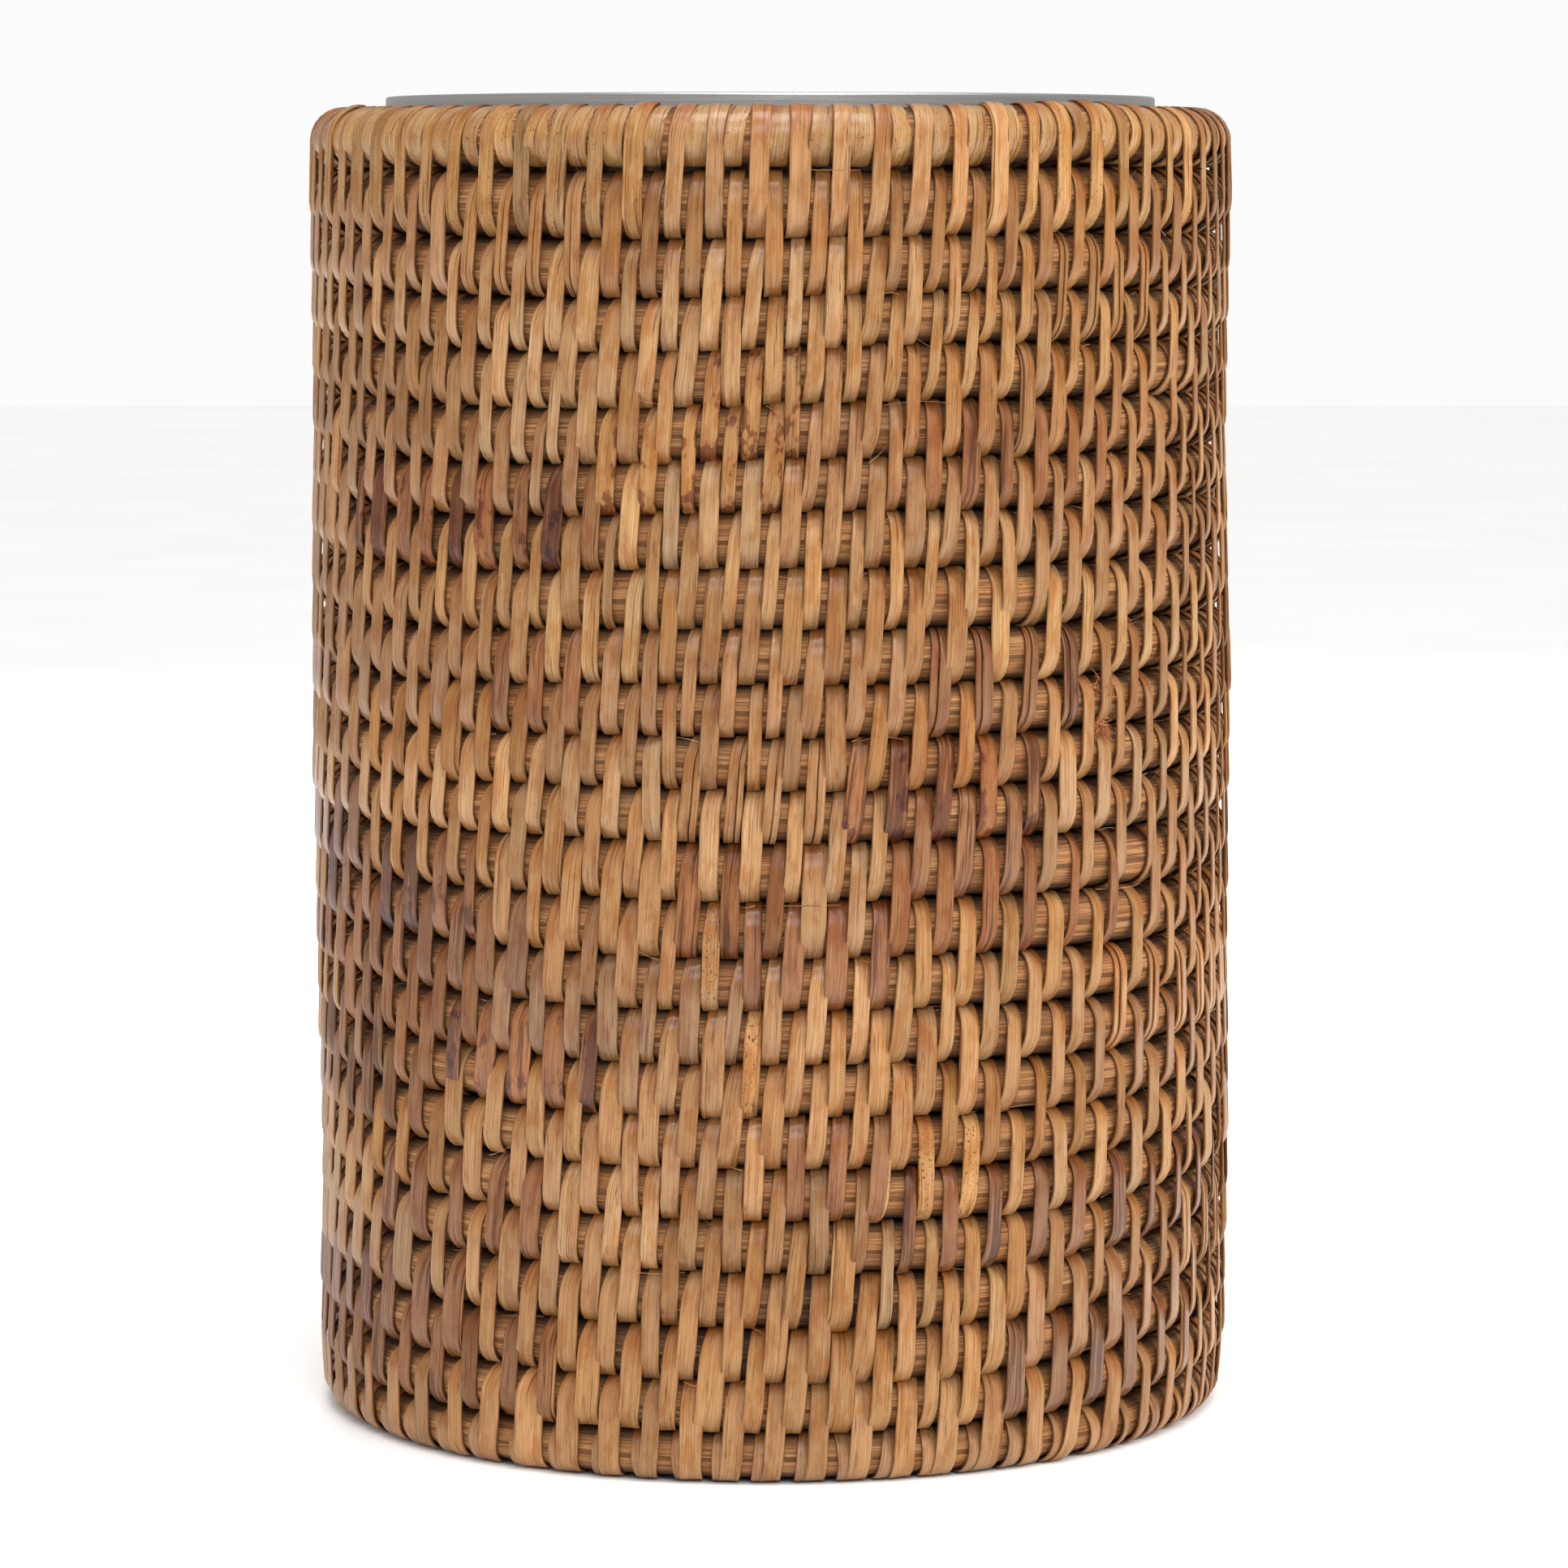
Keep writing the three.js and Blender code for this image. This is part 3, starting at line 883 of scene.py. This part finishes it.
def add_wall(strip, cane):
    """The stacked hoops, and the rows of strips that bind each to the next."""
    wall = [Hoop(name, level) for level, name in enumerate(WALL_HOOPS)]
    for hoop in wall:
        add_cane(hoop, HOOP_JOINTS[hoop.level] * TURN / 32, 3.7 * hoop.level + 0.3, cane)

    angles = FRONT + TURN / 2 - (np.arange(TOP_ROW_STITCHES) + 0.3) * TURN / TOP_ROW_STITCHES
    feet = None
    for row in range(FOOT_LEVEL):
        binding = WALL_BINDING if row else RIM_BINDING
        feet = add_strips(row, wall[row], wall[row + 1], angles, strip, f"binding_row_{row + 1:02d}", binding,
                          feet=feet)
        between = half_way(angles)
        if row == 0:
            add_strips(RIM_WRAP_ROW, wall[0], wall[0], between, strip, "binding_rim_wraps", RIM_WRAPS)
        if row == FOOT_LEVEL - 1:
            beside = angles + 0.95 * (between - angles)
            add_strips(FOOT_WRAP_ROW, wall[-1], wall[-1], beside, strip, "binding_foot_wraps", FOOT_WRAPS)
        angles = between
        for place in DROPPED_STITCHES.get(row + 1, ()):
            angles = drop_one(angles, place)
    return wall


def add_base(strip, cane):
    """Flat cane hoops inside each other, bound two by two by strips that run towards the middle."""
    hoops = [Hoop(name, FOOT_LEVEL, flat=True) for name in BASE_HOOPS]
    for index, hoop in enumerate(hoops):
        add_cane(hoop, index * TURN / 4, 91.3 + 2.9 * index, cane)
    for index, (outer, inner) in enumerate(zip(hoops, hoops[1:])):
        stitches = round(TURN * (outer.ring + inner.ring) / 2 / BASE_STITCH_SPACE)
        angles = FRONT - (np.arange(stitches) + 0.5 * (index % 2)) * TURN / stitches
        add_strips(FIRST_BASE_ROW + index, outer, inner, angles, strip, f"binding_base_{index + 1}",
                   BASE_BINDING, flat=True)
    add_eye(strip)


def add_eye(material):
    """The middle of the base: a knob of strip wound round itself."""
    low, high = box_of("base_eye")
    steps, turns, inmost = 160, 3.5, 0.9
    t = np.linspace(0, 1, steps)
    angle = t * turns * TURN
    ring = inmost + (high.x - 1.6) * t
    line = np.stack([ring * np.cos(angle), ring * np.sin(angle), np.full_like(t, (low.z + high.z) / 2)], -1)
    outward = np.stack([np.cos(angle), np.sin(angle), np.zeros_like(t)], -1)
    half_width = (high.z - low.z) / 2 - 0.6
    parts = Parts()
    add_ribbon(parts, line, outward, breadth=np.full(steps, half_width), roll=np.zeros(steps),
               groove=np.full(steps, 0.2), lower_half=t, tone=np.tile(KINDS["tan"][0], (steps, 1)),
               stain=np.full(steps, 0.3), speckle=0.2, blotch=0.0)
    parts.build("base_eye_coil", material, "basket", ["base_eye"])


# ---------------------------------------------------------------- stage, light and camera

def add_floor():
    bpy.ops.mesh.primitive_plane_add(size=12, location=(0, 0, 0))
    floor = bpy.context.object
    floor.name = "floor"
    floor.data.materials.append(floor_look())


def add_light(name, kind, power, aim, position=(0, 0, 0)):
    data = bpy.data.lights.new(name, kind)
    data.energy = power
    light = bpy.data.objects.new(name, data)
    light.location = position
    light.rotation_euler = Vector(aim).to_track_quat("-Z", "Y").to_euler()
    bpy.context.scene.collection.objects.link(light)
    return light


# Position, height of the point that the light is aimed at, its width and height, its power, and whether
# glossy surfaces show it.
SOFTBOXES = {
    "front_softbox": ((0.25, -1.5, 1.1), 0.15, (0.7, 0.7), 6, True),
    "top_softbox": ((0.1, -0.35, 1.5), 0.2, (0.6, 0.6), 7, True),
    "left_softbox": ((-1.3, -0.5, 0.5), 0.15, (0.5, 0.9), 4, False),
    "right_softbox": ((1.3, -0.5, 0.6), 0.15, (0.5, 0.9), 12, False),
    "back_softbox": ((-0.3, 1.5, 1.0), 0.15, (0.5, 0.9), 16, False),
}


def add_lights():
    """A white room, a broad light from above like a large panel, and soft boxes."""
    world = bpy.data.worlds.new("studio")
    bpy.context.scene.world = world
    world.use_nodes = True
    nodes, links = world.node_tree.nodes, world.node_tree.links
    room = nodes["Background"]
    backdrop = nodes.new("ShaderNodeBackground")
    for background, strength in ((room, 0.51), (backdrop, 0.97)):
        background.inputs["Color"].default_value = (1, 1, 1, 1)
        background.inputs["Strength"].default_value = strength
    # The backdrop looks brighter than the light it gives, so that the picture's background is white.
    which = nodes.new("ShaderNodeLightPath")
    choice = nodes.new("ShaderNodeMixShader")
    links.new(which.outputs["Is Camera Ray"], choice.inputs[0])
    links.new(room.outputs[0], choice.inputs[1])
    links.new(backdrop.outputs[0], choice.inputs[2])
    links.new(choice.outputs[0], nodes["World Output"].inputs[0])

    panel = add_light("sky_panel", "SUN", 1.7, (-0.18, 0.48, -1))
    panel.data.angle = math.radians(70)
    for name, (position, aim_height, size, power, glossy) in SOFTBOXES.items():
        light = add_light(name, "AREA", power, Vector((0, 0, aim_height)) - Vector(position), position)
        light.data.shape = "RECTANGLE"
        light.data.size, light.data.size_y = size
        light.visible_glossy = glossy


def add_camera():
    """In front of the basket, a little below its rim and tipped slightly down."""
    position = Vector((0, -1.36, 0.2885))
    target = Vector((0.0032, 0, 0.1455))
    data = bpy.data.cameras.new("camera")
    data.sensor_width = 36
    data.lens = 132.2
    data.clip_end = 60
    camera = bpy.data.objects.new("camera", data)
    camera.location = position
    camera.rotation_euler = (target - position).to_track_quat("-Z", "Y").to_euler()
    bpy.context.scene.collection.objects.link(camera)
    bpy.context.scene.camera = camera


bpy.context.scene.view_settings.view_transform = "Standard"
add_camera()
add_floor()
add_lights()
strip, cane = strip_look(), cane_look()
wall = add_wall(strip, cane)
add_base(strip, cane)
add_fibres(wall, fibre_look())
add_liner(steel_look())
